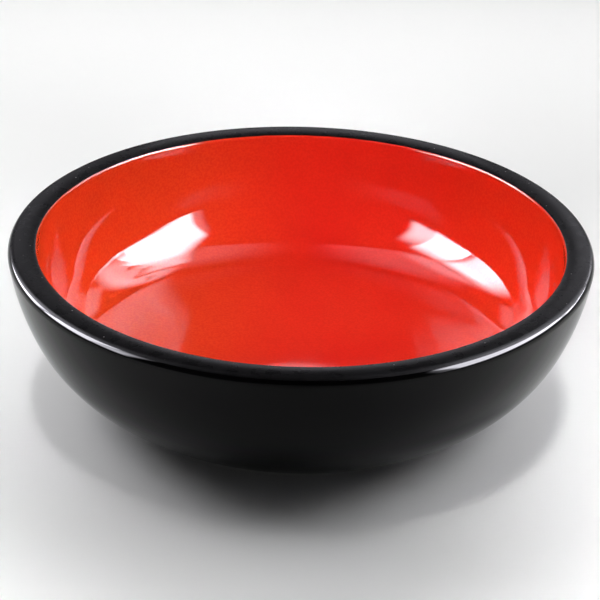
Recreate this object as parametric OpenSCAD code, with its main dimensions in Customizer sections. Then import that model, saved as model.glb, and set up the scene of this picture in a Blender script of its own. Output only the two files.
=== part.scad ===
// Lacquered kneading bowl: a moulded body under gloss coats inside, outside and below,
// with a satin coat on the crowned rim. Millimetres, +Z up, origin at the middle of the resting face.

/* [Bowl] */
// Outside diameter at the widest line, just under the rim
bowl_d = 360; // [345:1:375]
// Height from the resting face to the crest of the rim
bowl_h = 105; // [92:1:118]
// Thickness of the floor on the axis, from the ceiling of the recess to the dish, coats included
floor_t = 11; // [7:0.5:18]

/* [Outer wall] */
// Lean of the outer wall from upright where it leaves the rim, in degrees
outer_lean = 8.5; // [6:0.5:11]
// Radius of the upper arc of the outer wall
upper_r = 160; // [145:1:175]
// Radius of the lower arc of the outer wall, down to the foot
lower_r = 97; // [88:1:106]

/* [Rim] */
// Width of the rim between the outer and the inner wall
rim_w = 17.8; // [15:0.2:21]
// Radius of the crown across the top of the rim
crown_r = 40; // [25:1:80]
// Radius of the round between the crown and the outer wall
outer_round = 5; // [3:0.25:7]
// Radius of the round between the crown and the inner wall
inner_round = 2.2; // [1.6:0.1:4]

/* [Hollow] */
// Radius of the arc of the inner wall
wall_r = 110; // [100:1:150]
// Radius of the hip between the inner wall and the floor
hip_r = 40; // [34:1:46]
// Thickness between the hip and the outer wall, coats included
hip_wall = 6.5; // [5:0.25:9]
// Radius of the shallow dish of the floor
dish_r = 800; // [600:10:1400]

/* [Foot] */
// Outside diameter of the foot ring
foot_d = 200; // [185:1:206]
// Height of the foot ring at its outer side
foot_h = 2.75; // [2.25:0.25:5]
// Width of the foot ring
foot_w = 9; // [6:0.5:14]
// Depth of the recess inside the foot ring
recess_h = 4; // [3:0.25:6]
// Radius of the cove between the foot ring and the ceiling of the recess
cove_r = 2.5; // [1:0.25:2.75]

/* [Coats] */
// Thickness of a finished coat with its ground
coat_t = 0.5; // [0.3:0.05:0.8]
// Height above the resting face at which the coats end on the foot ring
coat_stop = 0.8; // [0.5:0.1:1.5]
// Seam of the rim coat on the inner round, in degrees from its top
inner_seam = 40; // [15:1:60]
// Seam of the rim coat on the outer round, in degrees from its top
outer_seam = 42; // [15:1:60]

/* [Hidden] */
$fn = 360;
// Amount by which arcs that touch are made to cross, so that every outline stays closed
lap = 0.005;
// Reach of the cutting outlines beyond the bowl
reach = 1000;
// Depth to which the crown section laps into the wall below it
crown_dip = 2;
// Angle by which the seam zones lap into the walls, in degrees
zone_lap = 15;

bowl_r = bowl_d / 2;
foot_r = foot_d / 2;
recess_r = foot_r - foot_w;
floor_z = recess_h + floor_t;

// Direction of a vector
function unit(v) = v / norm(v);

// Direction at an angle from the +X axis
function ray(a) = [cos(a), sin(a)];

// Crossing of two circles, on the left of the line from a to b for side 1, on its right for side -1
function meet(a, ra, b, rb, side) =
    let (
        d = norm(b - a),
        e = (b - a) / d,
        k = (ra * ra - rb * rb + d * d) / (2 * d),
        h = sqrt(max(0, ra * ra - k * k))
    )
    a + k * e + side * h * [-e[1], e[0]];

// Height of a round of radius r that touches the crown from inside, at the radius x from the axis
function under_crown(x, r) = crown_c[1] + sqrt(pow(crown_r - r, 2) - pow(x - crown_c[0], 2));

// Centres of the arcs, from the rim outwards and down to the foot, then down the hollow
crown_c = [bowl_r - rim_w / 2, bowl_h - crown_r];
outer_x = bowl_r - outer_round;
outer_c = [outer_x, under_crown(outer_x, outer_round)];
inner_x = bowl_r - rim_w + inner_round;
inner_c = [inner_x, under_crown(inner_x, inner_round)];
upper_c = outer_c + (upper_r - outer_round) * ray(180 - outer_lean);
lower_c = meet(upper_c, upper_r - lower_r, [foot_r, foot_h], lower_r, 1);
dish_c = [0, floor_z + dish_r];
hip_c = meet(dish_c, dish_r - hip_r, lower_c, lower_r - hip_wall - hip_r, 1);
wall_c = meet(hip_c, wall_r - hip_r, inner_c, wall_r + inner_round, 1);

module disc(c, r) {
    translate(c)
        circle(r);
}

// Wedge with its point at c, between two directions
module wedge(c, from, to) {
    polygon([c, c + reach * from, c + reach * to]);
}

// Everything below the rim section, between the axis and far outside
module below_rim() {
    inward = unit(wall_c - inner_c);
    outward = unit(outer_c - upper_c);
    polygon([
        outer_c,
        outer_c + reach * outward,
        [outer_c[0] + reach * outward[0], -reach],
        [0, -reach],
        inner_c - inner_c[0] / inward[0] * inward,
        inner_c
    ]);
}

// Rim section, set in by t from the finished surface
module rim_section(t) {
    to_outer = unit(outer_c - crown_c);
    to_inner = unit(inner_c - crown_c);
    disc(outer_c, outer_round - t + lap);
    disc(inner_c, inner_round - t + lap);
    intersection() {
        disc(crown_c, crown_r - t);
        polygon([
            inner_c - crown_dip * to_inner,
            outer_c - crown_dip * to_outer,
            outer_c + reach * to_outer,
            inner_c + reach * to_inner
        ]);
    }
}

// Outer form down to the foot, filled, set in by t
module outer_form(t) {
    to_lower = unit(lower_c - upper_c);
    intersection() {
        disc(upper_c, upper_r - t);
        wedge(upper_c, to_lower, [to_lower[0], -to_lower[1]]);
    }
    disc(lower_c, lower_r - t + lap);
    translate([0, foot_h])
        square([lower_c[0], lower_c[1]]);
    translate([recess_r - cove_r, 0])
        square([foot_w + cove_r - t, recess_h + cove_r]);
}

// Hollow of the bowl, set out by t into the body
module hollow(t) {
    disc(hip_c, hip_r + t + lap);
    intersection() {
        disc(wall_c, wall_r + t);
        wedge(wall_c, unit(hip_c - wall_c), [0, 1]);
    }
    intersection() {
        disc(dish_c, dish_r + t);
        wedge(dish_c, unit(hip_c - dish_c), [-1, -1]);
    }
}

// Recess inside the foot ring, set out by t into the body
module recess(t) {
    translate([0, -reach])
        square([recess_r - cove_r, recess_h + t + reach]);
    translate([0, -reach])
        square([recess_r + t, recess_h - cove_r + reach]);
    disc([recess_r - cove_r, recess_h - cove_r], cove_r + t);
}

// Whole section of the bowl, set in by t from every finished surface
module section(t) {
    rim_section(t);
    difference() {
        intersection() {
            outer_form(t);
            below_rim();
        }
        hollow(t);
        recess(t);
    }
}

// Section of all the coats together
module coats() {
    difference() {
        section(0);
        section(coat_t);
    }
}

module core() {
    color("#6b4a33")
        rotate_extrude()
            section(coat_t);
}

module inner_lacquer() {
    color("#d8301c")
        rotate_extrude()
            intersection() {
                coats();
                union() {
                    intersection() {
                        hollow(2 * coat_t);
                        below_rim();
                    }
                    wedge(inner_c, ray(90 + inner_seam), ray(180 + zone_lap));
                }
            }
}

module outer_lacquer() {
    color("#08080a")
        rotate_extrude()
            intersection() {
                coats();
                union() {
                    difference() {
                        intersection() {
                            below_rim();
                            translate([foot_r - 2 * coat_t, coat_stop])
                                square([reach, bowl_h]);
                        }
                        outer_form(2 * coat_t);
                    }
                    wedge(outer_c, ray(-outer_lean - zone_lap), ray(90 - outer_seam));
                }
            }
}

module rim_coat() {
    color("#26262a")
        rotate_extrude()
            intersection() {
                coats();
                polygon([
                    inner_c,
                    outer_c,
                    outer_c + reach * ray(90 - outer_seam),
                    inner_c + reach * ray(90 + inner_seam)
                ]);
            }
}

module base_lacquer() {
    color("#0b0b0d")
        rotate_extrude()
            intersection() {
                coats();
                translate([0, coat_stop])
                    square([recess_r + 2 * coat_t, recess_h]);
            }
}

core();
inner_lacquer();
outer_lacquer();
rim_coat();
base_lacquer();
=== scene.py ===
"""A round lacquered bowl for kneading noodle dough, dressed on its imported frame."""

import logging
import math
from abc import ABC, abstractmethod
from dataclasses import dataclass, field
from enum import Enum
from functools import cached_property

import bpy
from mathutils import Matrix, Quaternion, Vector

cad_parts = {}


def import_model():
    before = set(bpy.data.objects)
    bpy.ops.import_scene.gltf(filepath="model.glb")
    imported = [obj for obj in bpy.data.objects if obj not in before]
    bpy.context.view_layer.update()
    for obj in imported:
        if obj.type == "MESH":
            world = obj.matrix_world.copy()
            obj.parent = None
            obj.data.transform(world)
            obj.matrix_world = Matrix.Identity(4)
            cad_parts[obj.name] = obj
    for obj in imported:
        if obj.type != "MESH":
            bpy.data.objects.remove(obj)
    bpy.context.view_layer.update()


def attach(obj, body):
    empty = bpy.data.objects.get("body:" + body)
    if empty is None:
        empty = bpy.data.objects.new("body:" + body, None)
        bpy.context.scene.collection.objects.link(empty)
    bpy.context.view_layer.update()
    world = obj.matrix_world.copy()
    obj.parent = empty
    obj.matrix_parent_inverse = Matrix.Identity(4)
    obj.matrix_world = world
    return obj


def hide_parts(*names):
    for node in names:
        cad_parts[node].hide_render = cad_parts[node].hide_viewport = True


LOG = logging.getLogger("kneading_bowl")
MM = 0.001
ON_AXIS = 1e-6

Point = tuple[float, float]
Span = tuple[float, float]
Corner = tuple[float, float, float]
Colour = tuple[float, float, float]
Socket = bpy.types.NodeSocket

DOWN: Corner = (0.0, 0.0, -1.0)
ROLL_AXIS: Corner = (0.0, 0.0, 1.0)

# Most of a noise's values lie in this part of its range from 0 to 1.
NOISE_BULK: Span = (0.3, 0.7)


def along(origin: Point, angle: float, reach: float) -> Point:
    """Returns the point at a distance from an origin, at an angle in degrees from the +X axis."""
    a = math.radians(angle)
    return origin[0] + reach * math.cos(a), origin[1] + reach * math.sin(a)


def bearing(start: Point, end: Point) -> float:
    """Returns the direction from one point to another, in degrees from the +X axis."""
    return math.degrees(math.atan2(end[1] - start[1], end[0] - start[0]))


def meet(a: Point, ra: float, b: Point, rb: float) -> Point:
    """Finds the crossing of two circles, on the left of the line from a to b.

    Args:
        a: Centre of the first circle.
        ra: Radius of the first circle.
        b: Centre of the second circle.
        rb: Radius of the second circle.

    Returns:
        The crossing point.
    """
    gap = math.dist(a, b)
    ex, ey = (b[0] - a[0]) / gap, (b[1] - a[1]) / gap
    k = (ra * ra - rb * rb + gap * gap) / (2 * gap)
    h = math.sqrt(max(0.0, ra * ra - k * k))
    return a[0] + k * ex - h * ey, a[1] + k * ey + h * ex


@dataclass(frozen=True)
class Step:
    """How finely a curve is cut: longest run in mm, largest turn in degrees, fewest runs."""

    chord: float
    turn: float
    fewest: int = 2

    def count(self, length: float, sweep: float) -> int:
        """Returns the number of runs for an arc of that length in mm and that sweep in degrees."""
        return max(self.fewest, math.ceil(length / self.chord), math.ceil(abs(sweep) / self.turn))


@dataclass(frozen=True)
class Arc:
    """One arc of the bowl's section, in mm and degrees, run from start to end."""

    centre: Point
    radius: float
    start: float
    end: float

    def points(self, step: Step) -> list[Point]:
        """Samples the arc from its start to its end.

        Args:
            step: How finely the arc is cut.

        Returns:
            The points, both ends included.
        """
        sweep = self.end - self.start
        count = step.count(abs(math.radians(sweep)) * self.radius, sweep)
        angles = [self.start + sweep * i / count for i in range(count + 1)]
        return [along(self.centre, angle, self.radius) for angle in angles]


@dataclass(frozen=True)
class BowlForm:
    """Sizes of the bowl's turned section in mm, and the arcs that they give."""

    bowl_d: float = 360.0
    bowl_h: float = 105.0
    floor_t: float = 11.0
    outer_lean: float = 8.5
    upper_r: float = 160.0
    lower_r: float = 97.0
    rim_w: float = 17.8
    crown_r: float = 40.0
    outer_round: float = 5.0
    inner_round: float = 2.2
    wall_r: float = 110.0
    hip_r: float = 40.0
    hip_wall: float = 6.5
    dish_r: float = 800.0
    foot_d: float = 200.0
    foot_h: float = 2.75
    foot_w: float = 9.0
    recess_h: float = 4.0
    cove_r: float = 2.5
    coat_t: float = 0.5
    coat_stop: float = 0.8
    inner_seam: float = 40.0
    outer_seam: float = 42.0

    def under_crown(self, x: float, r: float) -> Point:
        """Returns the centre of a round of radius r at the radius x, which touches the crown."""
        cx, cz = self.crown_c
        return x, cz + math.sqrt((self.crown_r - r) ** 2 - (x - cx) ** 2)

    @cached_property
    def bowl_r(self) -> float:
        """Outer radius of the bowl."""
        return self.bowl_d / 2

    @cached_property
    def foot_r(self) -> float:
        """Outer radius of the foot ring."""
        return self.foot_d / 2

    @cached_property
    def recess_r(self) -> float:
        """Radius of the recess inside the foot ring."""
        return self.foot_r - self.foot_w

    @cached_property
    def crown_c(self) -> Point:
        """Centre of the rim's crown."""
        return self.bowl_r - self.rim_w / 2, self.bowl_h - self.crown_r

    @cached_property
    def outer_c(self) -> Point:
        """Centre of the round on the rim's outer edge."""
        return self.under_crown(self.bowl_r - self.outer_round, self.outer_round)

    @cached_property
    def inner_c(self) -> Point:
        """Centre of the round on the rim's inner edge."""
        return self.under_crown(self.bowl_r - self.rim_w + self.inner_round, self.inner_round)

    @cached_property
    def upper_c(self) -> Point:
        """Centre of the outer wall's upper arc."""
        return along(self.outer_c, 180 - self.outer_lean, self.upper_r - self.outer_round)

    @cached_property
    def lower_c(self) -> Point:
        """Centre of the outer wall's lower arc."""
        foot_edge = self.foot_r, self.foot_h
        return meet(self.upper_c, self.upper_r - self.lower_r, foot_edge, self.lower_r)

    @cached_property
    def dish_c(self) -> Point:
        """Centre of the dished floor."""
        return 0.0, self.recess_h + self.floor_t + self.dish_r

    @cached_property
    def hip_c(self) -> Point:
        """Centre of the turn from the floor into the wall."""
        reach = self.lower_r - self.hip_wall - self.hip_r
        return meet(self.dish_c, self.dish_r - self.hip_r, self.lower_c, reach)

    @cached_property
    def wall_c(self) -> Point:
        """Centre of the inner wall."""
        return meet(self.hip_c, self.wall_r - self.hip_r, self.inner_c, self.wall_r + self.inner_round)

    def hollow(self, t: float) -> list[Arc]:
        """Lists the arcs of the hollow from the axis up to the seam with the rim coat.

        Args:
            t: Depth below the finished surface.

        Returns:
            The arcs of the floor, the hip, the wall and the inner round.
        """
        floor_end = bearing(self.dish_c, self.hip_c)
        hip_end = bearing(self.wall_c, self.hip_c)
        wall_end = bearing(self.wall_c, self.inner_c)
        return [
            Arc(self.dish_c, self.dish_r + t, -90.0, floor_end),
            Arc(self.hip_c, self.hip_r + t, floor_end, hip_end),
            Arc(self.wall_c, self.wall_r + t, hip_end, wall_end),
            Arc(self.inner_c, self.inner_round - t, wall_end + 180.0, 90.0 + self.inner_seam),
        ]

    def rim(self, t: float) -> list[Arc]:
        """Lists the arcs of the rim from the inner seam over the crown to the outer seam.

        Args:
            t: Depth below the finished surface.

        Returns:
            The arcs of the inner round, the crown and the outer round.
        """
        inner_end = bearing(self.crown_c, self.inner_c)
        crown_end = bearing(self.crown_c, self.outer_c)
        return [
            Arc(self.inner_c, self.inner_round - t, 90.0 + self.inner_seam, inner_end),
            Arc(self.crown_c, self.crown_r - t, inner_end, crown_end),
            Arc(self.outer_c, self.outer_round - t, crown_end, 90.0 - self.outer_seam),
        ]

    def flank(self, t: float) -> list[Arc]:
        """Lists the arcs of the outer wall from the outer seam down to the foot ring.

        Args:
            t: Depth below the finished surface.

        Returns:
            The arcs of the outer round, the upper wall and the lower wall.
        """
        upper_end = bearing(self.upper_c, self.lower_c)
        reach = self.foot_r - t - self.lower_c[0]
        lower_end = -math.degrees(math.acos(reach / (self.lower_r - t)))
        return [
            Arc(self.outer_c, self.outer_round - t, 90.0 - self.outer_seam, -self.outer_lean),
            Arc(self.upper_c, self.upper_r - t, -self.outer_lean, upper_end),
            Arc(self.lower_c, self.lower_r - t, upper_end, lower_end),
        ]

    def cove(self, t: float) -> Arc:
        """Returns the round between the recess's ceiling and its wall, set t into the body."""
        centre = self.recess_r - self.cove_r, self.recess_h - self.cove_r
        return Arc(centre, self.cove_r + t, 90.0, 0.0)


@dataclass(frozen=True)
class Lathe:
    """Turns a closed outline about the bowl's axis into a smooth closed mesh."""

    segments: int = 360
    seen: Step = Step(1.6, 3.0)
    hidden: Step = Step(3.0, 6.0)
    crease: float = 40.0

    def trace(self, arcs: list[Arc], step: Step) -> list[Point]:
        """Joins arcs that follow one another into one run of points.

        Args:
            arcs: The arcs, each starting where the one before it ends.
            step: How finely the arcs are cut.

        Returns:
            The points in mm, without doubles where two arcs meet.
        """
        run: list[Point] = []
        for arc in arcs:
            points = arc.points(step)
            run.extend(points[1:] if run else points)
        return run

    def ring(self, point: Point) -> list[Corner]:
        """Turns one point of an outline about the axis.

        Args:
            point: Radius and height, in mm.

        Returns:
            The ring's corners in metres, only one where the point lies on the axis.
        """
        r, z = point
        if r < ON_AXIS:
            return [(0.0, 0.0, z * MM)]
        angles = [math.tau * s / self.segments for s in range(self.segments)]
        return [(r * math.cos(a) * MM, r * math.sin(a) * MM, z * MM) for a in angles]

    def band(self, here: list[int], there: list[int]) -> list[list[int]]:
        """Joins two rings that follow one another with faces.

        Args:
            here: Corner of each segment on the first ring, the same one throughout on the axis.
            there: Corner of each segment on the second ring.

        Returns:
            The corners of each face; a ring on the axis gives triangles, and two of them nothing.
        """
        faces: list[list[int]] = []
        for s in range(self.segments):
            n = (s + 1) % self.segments
            corners = list(dict.fromkeys((here[s], there[s], there[n], here[n])))
            if len(corners) > 2:
                faces.append(corners)
        return faces

    def turn(self, name: str, outline: list[Point]) -> bpy.types.Object:
        """Turns an outline about the axis.

        Args:
            name: Name of the new object.
            outline: Closed outline in mm with its body on the right; ends may lie on the axis.

        Returns:
            The new object, linked to the scene.
        """
        vertices: list[Corner] = []
        rings: list[list[int]] = []
        for point in outline:
            corners = self.ring(point)
            numbers = list(range(len(vertices), len(vertices) + len(corners)))
            rings.append(numbers if len(numbers) > 1 else numbers * self.segments)
            vertices.extend(corners)
        pairs = zip(rings, rings[1:] + rings[:1])
        faces = [face for here, there in pairs for face in self.band(here, there)]
        mesh = bpy.data.meshes.new(name)
        mesh.from_pydata(vertices, [], faces)
        mesh.validate()
        mesh.polygons.foreach_set("use_smooth", [True] * len(mesh.polygons))
        mesh.set_sharp_from_angle(angle=math.radians(self.crease))
        mesh.update()
        piece = bpy.data.objects.new(name, mesh)
        bpy.context.scene.collection.objects.link(piece)
        return piece


@dataclass(frozen=True)
class Ramp:
    """A smooth change of a result while a value runs from start to end, steady beyond both."""

    start: float
    end: float
    at_start: float = 0.0
    at_end: float = 1.0

    @classmethod
    def over_noise(cls, low: float = 0.0, high: float = 1.0) -> "Ramp":
        """Returns a ramp from low to high over the bulk of a noise's values."""
        return cls(*NOISE_BULK, low, high)

    def build(self, tree: bpy.types.NodeTree, value: Socket) -> Socket:
        """Adds the ramp to a node tree.

        Args:
            tree: Tree that gets the ramp.
            value: Socket with the value that the ramp reads.

        Returns:
            The socket with the ramp's result.
        """
        made = tree.nodes.new("ShaderNodeMapRange")
        made.interpolation_type = "SMOOTHSTEP"
        tree.links.new(value, made.inputs["Value"])
        made.inputs["From Min"].default_value = self.start
        made.inputs["From Max"].default_value = self.end
        made.inputs["To Min"].default_value = self.at_start
        made.inputs["To Max"].default_value = self.at_end
        return made.outputs["Result"]


@dataclass(frozen=True)
class Grain:
    """A cloudy pattern: its largest cells in mm, the number of finer layers and their share."""

    cell: float
    detail: float = 2.0
    share: float = 0.5


@dataclass(frozen=True)
class Dots:
    """Scattered round dots: the cells that hold one each and the dots' radius, in mm."""

    cell: float
    radius: float


@dataclass(frozen=True)
class Relief:
    """A shallow relief: its pattern and its height in mm."""

    pattern: Grain
    depth: float


class Graph:
    """Node graph of one material, with its Principled shader and small helpers."""

    def __init__(self, name: str) -> None:
        """Starts a material that holds only a Principled shader and the output.

        Args:
            name: Name of the material.
        """
        self.material = bpy.data.materials.new(name)
        self.material.use_nodes = True
        self.tree = self.material.node_tree
        self.tree.nodes.clear()
        self.output = self.node("ShaderNodeOutputMaterial")
        self.shader = self.node("ShaderNodeBsdfPrincipled")
        self.join(self.shader.outputs["BSDF"], self.output.inputs["Surface"])
        self.place = self.node("ShaderNodeTexCoord").outputs["Object"]

    def node(self, kind: str) -> bpy.types.Node:
        """Adds a node of that kind."""
        return self.tree.nodes.new(kind)

    def join(self, start: Socket, end: Socket) -> None:
        """Links two sockets."""
        self.tree.links.new(start, end)

    def feed(self, key: str, value: Socket | float | Colour) -> None:
        """Gives an input of the shader its value.

        Args:
            key: Name of the input.
            value: Socket that gives the value, or a number or colour that is the same all over.
        """
        end = self.shader.inputs[key]
        if isinstance(value, Socket):
            self.join(value, end)
        else:
            end.default_value = (*value, 1.0) if isinstance(value, tuple) else value

    def noise(self, grain: Grain) -> Socket:
        """Adds a cloudy pattern in object space.

        Args:
            grain: The pattern.

        Returns:
            The pattern's value socket, about 0 to 1.
        """
        made = self.node("ShaderNodeTexNoise")
        made.inputs["Scale"].default_value = 1.0 / (grain.cell * MM)
        made.inputs["Detail"].default_value = grain.detail
        made.inputs["Roughness"].default_value = grain.share
        self.join(self.place, made.inputs["Vector"])
        return made.outputs["Fac"]

    def dots(self, dots: Dots) -> Socket:
        """Adds scattered round dots in object space.

        Args:
            dots: The dots.

        Returns:
            A value socket that is 1 in a dot's middle and 0 outside the dots.
        """
        made = self.node("ShaderNodeTexVoronoi")
        made.inputs["Scale"].default_value = 1.0 / (dots.cell * MM)
        self.join(self.place, made.inputs["Vector"])
        return self.ramp(made.outputs["Distance"], Ramp(0.0, dots.radius / dots.cell, 1.0, 0.0))

    def across(self) -> Socket:
        """Adds the place across the bowl.

        Returns:
            The socket with the place along X, in metres.
        """
        split = self.node("ShaderNodeSeparateXYZ")
        self.join(self.place, split.inputs["Vector"])
        return split.outputs["X"]

    def ramp(self, value: Socket, ramp: Ramp) -> Socket:
        """Adds a ramp that reads a value, and returns its result."""
        return ramp.build(self.tree, value)

    def tint(self, share: Socket, first: Socket | Colour, second: Colour) -> Socket:
        """Mixes two colours.

        Args:
            share: Socket with the share of the second colour.
            first: First colour, or a socket that gives it.
            second: Second colour.

        Returns:
            The mixed colour socket.
        """
        made = self.node("ShaderNodeMix")
        made.data_type = "RGBA"
        self.join(share, made.inputs["Factor"])
        if isinstance(first, Socket):
            self.join(first, made.inputs["A"])
        else:
            made.inputs["A"].default_value = (*first, 1.0)
        made.inputs["B"].default_value = (*second, 1.0)
        return made.outputs["Result"]

    def relief(self, height: Socket, depth: float) -> None:
        """Adds a relief on top of those that are already there.

        Args:
            height: Socket with the height, 0 to 1.
            depth: Height of the relief, in mm.
        """
        made = self.node("ShaderNodeBump")
        made.inputs["Strength"].default_value = 1.0
        made.inputs["Distance"].default_value = depth * MM
        self.join(height, made.inputs["Height"])
        normal = self.shader.inputs["Normal"]
        if normal.is_linked:
            self.join(normal.links[0].from_socket, made.inputs["Normal"])
        self.join(made.outputs["Normal"], normal)


class Finish(ABC):
    """A finish that one or more pieces wear."""

    @abstractmethod
    def material(self) -> bpy.types.Material:
        """Returns a new material with this finish."""


@dataclass(frozen=True)
class Lacquer(Finish):
    """A sprayed high-gloss coat with patches of gloss, long soft waves and a fine orange peel."""

    name: str
    deep: Colour
    light: Colour
    cloud: Grain
    shade: Ramp
    ior: float
    patch: Grain
    gloss: Ramp
    wave: Relief
    peel: Relief

    @abstractmethod
    def finish_colour(self, g: Graph, colour: Socket) -> Socket:
        """Returns the clouded colour with what lies in the coat, and any painted light, added to it."""

    def material(self) -> bpy.types.Material:
        """Makes the finish's material.

        Returns:
            The new material.
        """
        g = Graph(self.name)
        clouded = g.tint(g.ramp(g.noise(self.cloud), self.shade), self.deep, self.light)
        g.feed("Base Color", self.finish_colour(g, clouded))
        g.feed("Roughness", g.ramp(g.noise(self.patch), self.gloss))
        g.feed("IOR", self.ior)
        for relief in (self.wave, self.peel):
            g.relief(g.noise(relief.pattern), relief.depth)
        return g.material


@dataclass(frozen=True)
class VermilionLacquer(Lacquer):
    """Vermilion lacquer with faint clouds, painted light that turns it a lighter orange towards both
    sides (most on the left), and a fine pigment grain.
    """

    name: str = "vermilion_lacquer"
    deep: Colour = (0.68, 0.021, 0.013)
    light: Colour = (0.73, 0.032, 0.0155)
    cloud: Grain = Grain(70.0, 3.0, 0.55)
    shade: Ramp = Ramp.over_noise()
    ior: float = 1.25
    patch: Grain = Grain(24.0, 3.0)
    gloss: Ramp = Ramp.over_noise(0.02, 0.04)
    wave: Relief = Relief(Grain(55.0, 1.0), 0.004)
    peel: Relief = Relief(Grain(2.6, 1.0), 0.0005)
    # Painted light: this lighter orange and the two ramps across X stand in for the stronger light on
    # the hollow's sides, most on the left.
    painted_light_orange: Colour = (0.715, 0.098, 0.019)
    painted_light_left: Ramp = Ramp(-0.15, 0.02, 0.8, 0.0)
    painted_light_right: Ramp = Ramp(0.06, 0.15, 0.0, 0.35)
    pigment: Colour = (0.58, 0.02, 0.012)
    pigment_grain: Grain = Grain(1.5)
    pigment_share: Ramp = Ramp(0.35, 0.65, 0.0, 0.4)
    fleck: Colour = (0.8, 0.09, 0.05)
    fleck_dots: Dots = Dots(9.0, 0.16)

    def finish_colour(self, g: Graph, colour: Socket) -> Socket:
        """Adds the painted light on the sides, then the pigment grain and the flecks.

        Args:
            g: Graph of the material.
            colour: Socket with the clouded colour.

        Returns:
            The socket with the finished colour.
        """
        across = g.across()
        # Painted light: tints the sides orange as if they were lit more strongly.
        for side in (self.painted_light_left, self.painted_light_right):
            colour = g.tint(g.ramp(across, side), colour, self.painted_light_orange)
        grain = g.ramp(g.noise(self.pigment_grain), self.pigment_share)
        colour = g.tint(grain, colour, self.pigment)
        return g.tint(g.dots(self.fleck_dots), colour, self.fleck)


@dataclass(frozen=True)
class BlackLacquer(Lacquer):
    """Black lacquer with a trace of dust."""

    name: str = "black_lacquer"
    deep: Colour = (0.0008, 0.00075, 0.0009)
    light: Colour = (0.0016, 0.0015, 0.0018)
    cloud: Grain = Grain(30.0, 3.0)
    shade: Ramp = Ramp.over_noise()
    ior: float = 1.185
    patch: Grain = Grain(20.0, 3.0)
    gloss: Ramp = Ramp.over_noise(0.03, 0.06)
    wave: Relief = Relief(Grain(40.0, 1.0), 0.004)
    peel: Relief = Relief(Grain(2.2, 1.0), 0.0004)
    dust: Colour = (0.06, 0.06, 0.065)
    dust_dots: Dots = Dots(14.0, 0.55)

    def finish_colour(self, g: Graph, colour: Socket) -> Socket:
        """Returns the clouded colour with the dust added to it."""
        return g.tint(g.dots(self.dust_dots), colour, self.dust)


@dataclass(frozen=True)
class SatinRim(Finish):
    """Satin black coat with a fine grain and a few specks of dust."""

    deep: Colour = (0.0018, 0.0017, 0.0019)
    light: Colour = (0.005, 0.0048, 0.0052)
    grain: Grain = Grain(0.55, 3.0, 0.6)
    grain_depth: float = 0.012
    shade: Ramp = Ramp(0.3, 0.75)
    speck: Colour = (0.3, 0.28, 0.29)
    speck_dots: Dots = Dots(8.0, 0.6)
    ior: float = 1.07
    patch: Grain = Grain(9.0, 3.0)
    sheen: Ramp = Ramp.over_noise(0.25, 0.32)

    def material(self) -> bpy.types.Material:
        """Makes the finish's material.

        Returns:
            The new material.
        """
        g = Graph("satin_rim")
        fine = g.noise(self.grain)
        colour = g.tint(g.ramp(fine, self.shade), self.deep, self.light)
        g.feed("Base Color", g.tint(g.dots(self.speck_dots), colour, self.speck))
        g.feed("Roughness", g.ramp(g.noise(self.patch), self.sheen))
        g.feed("IOR", self.ior)
        g.relief(fine, self.grain_depth)
        return g.material


@dataclass(frozen=True)
class MouldedCore(Finish):
    """Brown moulded resin with flecks of wood flour."""

    deep: Colour = (0.12, 0.062, 0.034)
    light: Colour = (0.26, 0.15, 0.088)
    grain: Grain = Grain(1.4, 4.0, 0.65)
    grain_depth: float = 0.03
    shade: Ramp = Ramp.over_noise()
    fleck: Colour = (0.42, 0.29, 0.18)
    fleck_dots: Dots = Dots(2.4, 0.4)
    rough: Ramp = Ramp.over_noise(0.55, 0.75)

    def material(self) -> bpy.types.Material:
        """Makes the finish's material.

        Returns:
            The new material.
        """
        g = Graph("moulded_core")
        fine = g.noise(self.grain)
        colour = g.tint(g.ramp(fine, self.shade), self.deep, self.light)
        g.feed("Base Color", g.tint(g.dots(self.fleck_dots), colour, self.fleck))
        g.feed("Roughness", g.ramp(fine, self.rough))
        g.relief(fine, self.grain_depth)
        return g.material


@dataclass(frozen=True)
class PaleFloor(Finish):
    """Matte pale paper of the studio floor, open to views from below."""

    pale: Colour = (0.95, 0.95, 0.95)
    rough: float = 0.9

    def material(self) -> bpy.types.Material:
        """Makes the finish's material.

        Returns:
            The new material.
        """
        g = Graph("pale_floor")
        g.feed("Base Color", self.pale)
        g.feed("Roughness", self.rough)
        g.feed("Specular IOR Level", 0.0)
        below = g.node("ShaderNodeNewGeometry").outputs["Backfacing"]
        clear = g.node("ShaderNodeBsdfTransparent").outputs["BSDF"]
        pick = g.node("ShaderNodeMixShader")
        share, seen_above, seen_below = pick.inputs
        g.join(below, share)
        g.join(g.shader.outputs["BSDF"], seen_above)
        g.join(clear, seen_below)
        g.join(pick.outputs["Shader"], g.output.inputs["Surface"])
        return g.material


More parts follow.
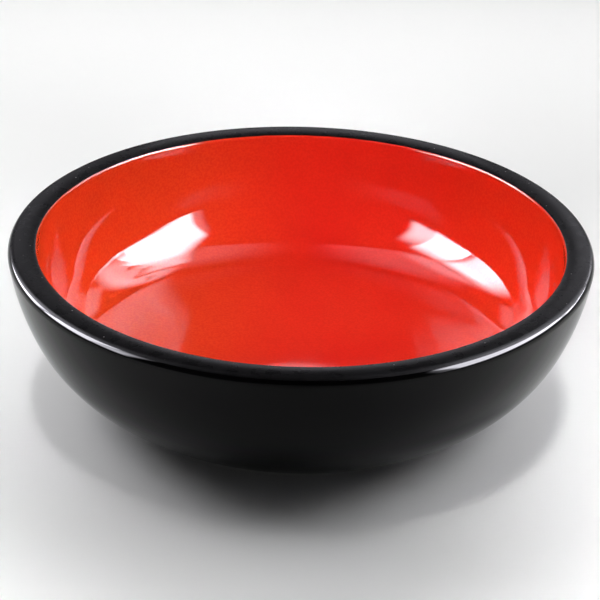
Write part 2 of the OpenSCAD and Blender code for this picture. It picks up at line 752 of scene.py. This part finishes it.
@dataclass
class Layer(ABC):
    """One turned layer of the bowl, a closed shell that stands for its CAD node."""

    form: BowlForm
    lathe: Lathe
    finish: Finish
    node: str
    piece: bpy.types.Object | None = field(default=None, init=False)

    @abstractmethod
    def outline(self) -> list[Point]:
        """Returns the layer's closed outline in mm."""

    def build(self) -> None:
        """Turns the layer and puts it in its CAD node's place."""
        self.piece = self.lathe.turn(f"{self.node}_layer", self.outline())
        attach(self.piece, "root")
        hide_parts(self.node)

    def dress(self) -> None:
        """Gives the layer its finish."""
        self.piece.data.materials.append(self.finish.material())
        LOG.info("%s: %d faces", self.piece.name, len(self.piece.data.polygons))

    def between(self, face: list[Arc], back: list[Arc]) -> list[Point]:
        """Joins a coat's face and its back into one closed outline.

        Args:
            face: Arcs of the finished surface.
            back: Arcs of the surface below it, run the same way.

        Returns:
            The outline: along the face, and back along the back.
        """
        lathe = self.lathe
        return lathe.trace(face, lathe.seen) + lathe.trace(back, lathe.hidden)[::-1]

    def recess(self, t: float, stop: float, step: Step) -> list[Point]:
        """Runs from the axis along the recess's ceiling to the foot of its wall.

        Args:
            t: Depth below the finished surface.
            stop: Height at which the run ends on the recess's wall.
            step: How finely the run is cut.

        Returns:
            The points in mm.
        """
        f = self.form
        flat = f.recess_r - f.cove_r
        count = math.ceil(flat / step.chord)
        run = [(flat * i / count, f.recess_h + t) for i in range(count)]
        return run + self.lathe.trace([f.cove(t)], step) + [(f.recess_r + t, stop)]


@dataclass
class Core(Layer):
    """The moulded body under the coats, bare only where the foot ring rests."""

    def outline(self) -> list[Point]:
        """Runs over the body under the coats, down to the foot ring and back through the recess.

        Returns:
            The layer's closed outline in mm.
        """
        f, step = self.form, self.lathe.hidden
        t = f.coat_t
        run = self.lathe.trace(f.hollow(t) + f.rim(t) + f.flank(t), step)
        return run + [(f.foot_r - t, 0.0)] + self.recess(t, 0.0, step)[::-1]


@dataclass
class InnerLacquer(Layer):
    """The red coat of the hollow, from the middle of the floor up over the inner edge."""

    def outline(self) -> list[Point]:
        """Returns the layer's closed outline in mm."""
        return self.between(self.form.hollow(0.0), self.form.hollow(self.form.coat_t))


@dataclass
class RimCoat(Layer):
    """The satin coat over the crown of the rim, between its two seams."""

    def outline(self) -> list[Point]:
        """Returns the layer's closed outline in mm."""
        return self.between(self.form.rim(0.0), self.form.rim(self.form.coat_t))


@dataclass
class OuterLacquer(Layer):
    """The black coat of the outer wall, from the rim's outer round down the foot ring."""

    def outline(self) -> list[Point]:
        """Runs down the wall's face to the coat's end on the foot ring, and back behind it.

        Returns:
            The layer's closed outline in mm.
        """
        f, lathe = self.form, self.lathe
        face = lathe.trace(f.flank(0.0), lathe.seen) + [(f.foot_r, f.coat_stop)]
        back = lathe.trace(f.flank(f.coat_t), lathe.hidden) + [(f.foot_r - f.coat_t, f.coat_stop)]
        return face + back[::-1]


@dataclass
class BaseLacquer(Layer):
    """The black coat of the recess inside the foot ring."""

    def outline(self) -> list[Point]:
        """Runs from the recess's wall to the axis along the coat's face, and back behind it.

        Returns:
            The layer's closed outline in mm.
        """
        f, lathe = self.form, self.lathe
        face = self.recess(0.0, f.coat_stop, lathe.seen)
        return face[::-1] + self.recess(f.coat_t, f.coat_stop, lathe.hidden)


@dataclass
class Bowl:
    """The whole bowl: its moulded core and the four coats on it."""

    form: BowlForm = field(default_factory=BowlForm)
    lathe: Lathe = field(default_factory=Lathe)

    def build(self) -> None:
        """Builds and dresses every layer."""
        layers: list[Layer] = [
            Core(self.form, self.lathe, MouldedCore(), "core"),
            InnerLacquer(self.form, self.lathe, VermilionLacquer(), "inner_lacquer"),
            RimCoat(self.form, self.lathe, SatinRim(), "rim_coat"),
            OuterLacquer(self.form, self.lathe, BlackLacquer(), "outer_lacquer"),
            BaseLacquer(self.form, self.lathe, BlackLacquer(name="base_lacquer"), "base_lacquer"),
        ]
        for layer in layers:
            layer.build()
            layer.dress()


class Lights(Enum):
    """What a lamp is there for."""

    GLOSS = "reflections only"
    MATTE = "diffuse light only"


@dataclass(frozen=True)
class SoftEdge:
    """Shares of a softbox's width and height over which its edges fade out."""

    left: float = 0.0
    right: float = 0.0
    bottom: float = 0.0
    top: float = 0.0

    def ramps(self) -> list[tuple[str, Ramp]]:
        """Lists the edges that fade.

        Returns:
            The axis of each such edge, and the ramp from its dark end to its bright end.
        """
        found = [
            ("X", Ramp(0.0, self.left)),
            ("X", Ramp(1.0, 1.0 - self.right)),
            ("Y", Ramp(0.0, self.bottom)),
            ("Y", Ramp(1.0, 1.0 - self.top)),
        ]
        return [(axis, ramp) for axis, ramp in found if ramp.start != ramp.end]


@dataclass(frozen=True)
class Softbox:
    """A rectangular studio lamp that faces along a direction, in metres and degrees."""

    name: str
    centre: Corner
    facing: Corner
    width: float
    height: float
    radiance: float
    lights: Lights
    edge: SoftEdge = SoftEdge()
    spread: float = 180.0
    roll: float = 0.0
    cool: Colour = (0.985, 0.97, 1.06)
    watts_per_area: float = 4.0

    def build(self) -> None:
        """Adds the lamp to the scene."""
        lamp = bpy.data.lights.new(self.name, "AREA")
        lamp.shape = "RECTANGLE"
        lamp.size, lamp.size_y = self.width, self.height
        lamp.energy = self.radiance * self.watts_per_area * self.width * self.height
        lamp.spread = math.radians(self.spread)
        if self.lights is Lights.GLOSS:
            lamp.color = self.cool
        if self.edge.ramps():
            self.fade(lamp)
        holder = bpy.data.objects.new(self.name, lamp)
        holder.location = Vector(self.centre)
        holder.rotation_mode = "QUATERNION"
        turn = Vector(self.facing).normalized().to_track_quat("-Z", "Y")
        holder.rotation_quaternion = turn @ Quaternion(ROLL_AXIS, math.radians(self.roll))
        holder.visible_camera = False
        holder.visible_diffuse = self.lights is Lights.MATTE
        holder.visible_glossy = self.lights is Lights.GLOSS
        bpy.context.scene.collection.objects.link(holder)
        LOG.info("lamp %s: %s", self.name, self.lights.value)

    def fade(self, lamp: bpy.types.Light) -> None:
        """Fades the lamp out towards its soft edges.

        Args:
            lamp: The lamp's data.
        """
        lamp.use_nodes = True
        tree = lamp.node_tree
        glow = next(n for n in tree.nodes if n.type == "EMISSION")
        face = tree.nodes.new("ShaderNodeNewGeometry")
        split = tree.nodes.new("ShaderNodeSeparateXYZ")
        tree.links.new(face.outputs["Parametric"], split.inputs["Vector"])
        share, *others = [ramp.build(tree, split.outputs[axis]) for axis, ramp in self.edge.ramps()]
        for other in others:
            product = tree.nodes.new("ShaderNodeMath")
            product.operation = "MULTIPLY"
            tree.links.new(share, product.inputs[0])
            tree.links.new(other, product.inputs[1])
            share = product.outputs["Value"]
        tree.links.new(share, glow.inputs["Strength"])


@dataclass(frozen=True)
class Screen:
    """An upright diffusion screen beside the bowl, whose patches of light show in the gloss only.

    Directions are azimuths in degrees from straight behind the bowl, positive to the right. Heights and
    offsets on the screen are shares of its distance, heights from the middle of the bowl.
    """

    azimuth: float
    distance: float = 0.6
    middle: float = 0.06
    strip_edge: SoftEdge = SoftEdge(0.15, 0.25, 0.3, 0.3)

    def spot(self, offset: float, height: float) -> Corner:
        """Finds a point on the screen.

        Args:
            offset: Offset from the screen's middle, clockwise from above.
            height: Height of the point.

        Returns:
            The point, in metres.
        """
        a = math.radians(self.azimuth)
        out = Vector((math.sin(a), math.cos(a), 0.0))
        clockwise = Vector((math.cos(a), -math.sin(a), 0.0))
        point = (out + clockwise * offset) * self.distance
        point.z = self.middle + height * self.distance
        return tuple(point)

    def facing(self) -> Corner:
        """Returns the direction from the screen to the bowl."""
        a = math.radians(self.azimuth)
        return -math.sin(a), -math.cos(a), 0.0

    def patch(
        self,
        name: str,
        span: Span,
        rise: Span,
        radiance: float,
        front: float = 0.0,
        back: float = 0.0,
        bottom: float = 0.0,
        top: float = 0.0,
    ) -> Softbox:
        """Places an upright patch of light on the screen.

        Args:
            name: Name of the lamp.
            span: Directions of its two upright edges.
            rise: Heights of its lower and upper edge.
            radiance: Brightness of its face.
            front: Share of the width over which it fades out towards the viewer.
            back: Share of the width over which it fades out away from the viewer.
            bottom: Share of the height over which its foot fades out.
            top: Share of the height over which its head fades out.

        Returns:
            The lamp.
        """
        first, last = (math.tan(math.radians(end - self.azimuth)) for end in span)
        left, right = (front, back) if self.azimuth > 0 else (back, front)
        return Softbox(
            name,
            centre=self.spot((first + last) / 2, (rise[0] + rise[1]) / 2),
            facing=self.facing(),
            width=abs(last - first) * self.distance,
            height=(rise[1] - rise[0]) * self.distance,
            radiance=radiance,
            lights=Lights.GLOSS,
            edge=SoftEdge(left, right, bottom, top),
        )

    def brace(self, name: str, low: Point, high: Point, width: float, radiance: float) -> Softbox:
        """Places a slanted strip of light on the screen, with soft ends.

        Args:
            name: Name of the lamp.
            low: Offset, anticlockwise from above, and height of its lower end.
            high: Offset and height of its upper end.
            width: Width of the strip.
            radiance: Brightness of its face.

        Returns:
            The lamp.
        """
        run, climb = high[0] - low[0], high[1] - low[1]
        return Softbox(
            name,
            centre=self.spot(-(low[0] + high[0]) / 2, (low[1] + high[1]) / 2),
            facing=self.facing(),
            width=math.hypot(run, climb) * self.distance,
            height=width * self.distance,
            radiance=radiance,
            lights=Lights.GLOSS,
            edge=self.strip_edge,
            roll=math.degrees(math.atan2(climb, run)),
        )


@dataclass(frozen=True)
class Rig:
    """The studio's lamps: screens and ceilings for the gloss, soft lamps for the matte colours."""

    right: Screen = Screen(66.0)
    left: Screen = Screen(-95.0)
    right_rear: Screen = Screen(31.0)
    left_rear: Screen = Screen(-26.0)
    rear: Screen = Screen(0.0)
    ceiling_h: float = 1.26
    pool_h: float = 1.4
    pool_size: float = 0.3
    pool_spread: float = 25.0

    def right_side(self) -> list[Softbox]:
        """Lists the patches and strips of light on the right screen."""
        screen = self.right
        return [
            screen.patch(
                "right_edge", span=(122.0, 133.0), rise=(0.3, 1.9), radiance=8.0, front=0.6, top=0.5
            ),
            screen.patch(
                "right_front",
                span=(77.5, 127.0),
                rise=(0.25, 2.0),
                radiance=70.0,
                front=0.22,
                bottom=0.06,
                top=0.37,
            ),
            screen.patch(
                "right_middle",
                span=(70.5, 77.5),
                rise=(0.28, 2.15),
                radiance=60.0,
                bottom=0.15,
                top=0.55,
            ),
            screen.patch(
                "right_back", span=(65.5, 70.5), rise=(0.5, 2.15), radiance=47.0, bottom=0.2, top=0.6
            ),
            screen.patch(
                "right_wing", span=(59.0, 65.5), rise=(0.8, 2.15), radiance=33.0, bottom=0.25, top=0.5
            ),
            screen.patch(
                "right_tip",
                span=(42.0, 59.0),
                rise=(1.1, 2.15),
                radiance=24.0,
                back=0.6,
                bottom=0.25,
                top=0.4,
            ),
            screen.patch(
                "right_low",
                span=(42.0, 79.0),
                rise=(0.21, 0.35),
                radiance=45.0,
                front=0.1,
                back=0.3,
                bottom=0.15,
            ),
            screen.brace("right_base", low=(-0.1, 0.28), high=(0.85, 1.93), width=0.6, radiance=14.0),
            screen.brace("right_brace", low=(0.0, 0.27), high=(0.72, 1.5), width=0.2, radiance=17.0),
        ]

    def left_side(self) -> list[Softbox]:
        """Lists the patches of light on the left screen."""
        screen = self.left
        return [
            screen.patch(
                "left_edge",
                span=(-125.0, -108.0),
                rise=(0.22, 1.2),
                radiance=42.0,
                front=0.4,
                bottom=0.06,
                top=0.78,
            ),
            screen.patch(
                "left_front",
                span=(-108.0, -82.5),
                rise=(0.2, 1.35),
                radiance=68.0,
                bottom=0.06,
                top=0.54,
            ),
            screen.patch(
                "left_back",
                span=(-84.0, -46.0),
                rise=(0.16, 1.3),
                radiance=48.0,
                front=0.12,
                back=0.66,
                bottom=0.06,
                top=0.42,
            ),
            screen.patch(
                "left_haze",
                span=(-99.0, -46.0),
                rise=(0.65, 2.2),
                radiance=12.0,
                front=0.2,
                back=0.4,
                bottom=0.15,
                top=0.6,
            ),
        ]

    def ceilings(self) -> list[Softbox]:
        """Lists the two wide lamps overhead that show along the foot of the back wall."""
        return [
            Softbox(
                "right_ceiling",
                centre=(0.37, 0.31, self.ceiling_h),
                facing=DOWN,
                width=0.7,
                height=0.94,
                radiance=3.3,
                lights=Lights.GLOSS,
                edge=SoftEdge(left=0.55, right=0.08, bottom=0.05, top=0.5),
            ),
            Softbox(
                "left_ceiling",
                centre=(-0.42, 0.37, self.ceiling_h),
                facing=DOWN,
                width=0.84,
                height=1.1,
                radiance=3.2,
                lights=Lights.GLOSS,
                edge=SoftEdge(left=0.1, right=0.45, bottom=0.05, top=0.5),
            ),
        ]

    def rears(self) -> list[Softbox]:
        """Lists the faint patches behind the bowl that show on its floor and its rim."""
        return [
            self.right_rear.patch(
                "right_rear",
                span=(15.0, 47.0),
                rise=(0.3, 0.68),
                radiance=4.0,
                front=0.2,
                back=0.3,
                top=0.3,
            ),
            self.left_rear.patch(
                "left_rear",
                span=(-39.0, -13.0),
                rise=(0.3, 0.68),
                radiance=2.3,
                front=0.2,
                back=0.3,
                top=0.3,
            ),
            self.rear.patch("rear", span=(-13.0, 15.0), rise=(0.25, 0.6), radiance=3.3, top=0.3),
        ]

    def mattes(self) -> list[Softbox]:
        """Lists the soft lamps that light the bowl's own colours."""
        return [
            Softbox(
                "back_matte",
                centre=(0.0, 1.15, 1.5),
                facing=(0.0, -1.15, -1.45),
                width=2.4,
                height=0.8,
                radiance=1.45,
                lights=Lights.MATTE,
            ),
            Softbox(
                "right_matte",
                centre=(1.08, 0.12, 0.9),
                facing=(-1.08, -0.12, -0.85),
                width=0.8,
                height=0.8,
                radiance=3.3,
                lights=Lights.MATTE,
            ),
            Softbox(
                "left_matte",
                centre=(-1.05, 0.3, 0.95),
                facing=(1.05, -0.3, -0.9),
                width=0.8,
                height=0.8,
                radiance=3.75,
                lights=Lights.MATTE,
            ),
        ]

    def pool(self, name: str, x: float, y: float, radiance: float) -> Softbox:
        """Hangs a narrow lamp over the floor beside the bowl.

        Args:
            name: Name of the lamp.
            x: Place of the lamp along X.
            y: Place of the lamp along Y.
            radiance: Brightness of its face.

        Returns:
            The lamp.
        """
        return Softbox(
            name,
            centre=(x, y, self.pool_h),
            facing=DOWN,
            width=self.pool_size,
            height=self.pool_size,
            radiance=radiance,
            lights=Lights.MATTE,
            spread=self.pool_spread,
        )

    def pools(self) -> list[Softbox]:
        """Lists the narrow lamps that light the floor beside and behind the bowl."""
        return [
            self.pool("right_floor", x=0.4, y=-0.05, radiance=1.5),
            self.pool("left_floor", x=-0.42, y=0.05, radiance=1.25),
            self.pool("right_corner", x=0.36, y=-0.36, radiance=1.2),
            self.pool("left_corner", x=-0.36, y=-0.36, radiance=1.42),
            Softbox(
                "back_floor",
                centre=(0.0, 0.62, self.pool_h),
                facing=DOWN,
                width=0.8,
                height=0.1,
                radiance=0.72,
                lights=Lights.MATTE,
                spread=30.0,
            ),
        ]

    def fill(self) -> Softbox:
        """Returns the narrow lamp above the viewer that reaches into the middle of the hollow."""
        return Softbox(
            "front_fill",
            centre=(0.0, -1.1, 0.83),
            facing=(0.0, 1.2, -0.74),
            width=0.2,
            height=0.2,
            radiance=0.4,
            lights=Lights.MATTE,
            spread=8.0,
        )

    def build(self) -> None:
        """Adds every lamp to the scene."""
        gloss = self.right_side() + self.left_side() + self.ceilings() + self.rears()
        matte = self.mattes() + self.pools() + [self.fill()]
        for lamp in gloss + matte:
            lamp.build()


@dataclass(frozen=True)
class View:
    """The camera, placed by the point it looks at, its distance and its angles."""

    aim: Corner = (0.0, 0.0, 0.0623)
    distance: float = 1.5042
    elevation: float = 27.1
    roll: float = 1.42
    lens: float = 144.65
    sensor: float = 36.0
    clip: Span = (0.05, 50.0)

    def build(self) -> None:
        """Adds the camera and makes it the scene's own."""
        data = bpy.data.cameras.new("view")
        data.lens, data.sensor_width, data.sensor_fit = self.lens, self.sensor, "HORIZONTAL"
        data.clip_start, data.clip_end = self.clip
        holder = bpy.data.objects.new("view", data)
        e = math.radians(self.elevation)
        away = Vector((0.0, -math.cos(e), math.sin(e)))
        turn = (-away).to_track_quat("-Z", "Y") @ Quaternion(ROLL_AXIS, math.radians(self.roll))
        place = Matrix.Translation(Vector(self.aim) + away * self.distance)
        holder.matrix_world = place @ turn.to_matrix().to_4x4()
        bpy.context.scene.collection.objects.link(holder)
        bpy.context.scene.camera = holder


@dataclass(frozen=True)
class Studio:
    """Floor, lamps, room and camera that the bowl is shown with."""

    floor_r: float = 6.0
    floor_sides: int = 96
    floor_drop: float = 0.0002
    floor_finish: Finish = PaleFloor()
    white: Colour = (1.0, 1.0, 1.0)
    horizon: Ramp = Ramp(0.06, 0.14, 0.9, 0.03)

    def floor(self) -> None:
        """Lays the round pale floor under the bowl."""
        angles = [math.tau * i / self.floor_sides for i in range(self.floor_sides)]
        rim = [(self.floor_r * math.cos(a), self.floor_r * math.sin(a), 0.0) for a in angles]
        mesh = bpy.data.meshes.new("floor")
        mesh.from_pydata(rim, [], [list(range(self.floor_sides))])
        mesh.materials.append(self.floor_finish.material())
        sheet = bpy.data.objects.new("floor", mesh)
        sheet.location.z = -self.floor_drop
        bpy.context.scene.collection.objects.link(sheet)

    def room(self) -> None:
        """Sets the dark room with a pale strip along the horizon."""
        world = bpy.data.worlds.new("room")
        bpy.context.scene.world = world
        world.use_nodes = True
        tree = world.node_tree
        glow = next(n for n in tree.nodes if n.type == "BACKGROUND")
        glow.inputs["Color"].default_value = (*self.white, 1.0)
        place = tree.nodes.new("ShaderNodeTexCoord")
        split = tree.nodes.new("ShaderNodeSeparateXYZ")
        tree.links.new(place.outputs["Generated"], split.inputs["Vector"])
        tree.links.new(self.horizon.build(tree, split.outputs["Z"]), glow.inputs["Strength"])

    def build(self) -> None:
        """Sets up the floor, the lamps, the room and the camera."""
        bpy.context.scene.view_settings.view_transform = "Standard"
        self.floor()
        Rig().build()
        self.room()
        View().build()


def main() -> None:
    """Loads the frame, sets up the studio, and builds and dresses the bowl."""
    logging.basicConfig(level=logging.INFO, format="%(name)s: %(message)s")
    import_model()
    Studio().build()
    Bowl().build()


if __name__ == "__main__":
    main()
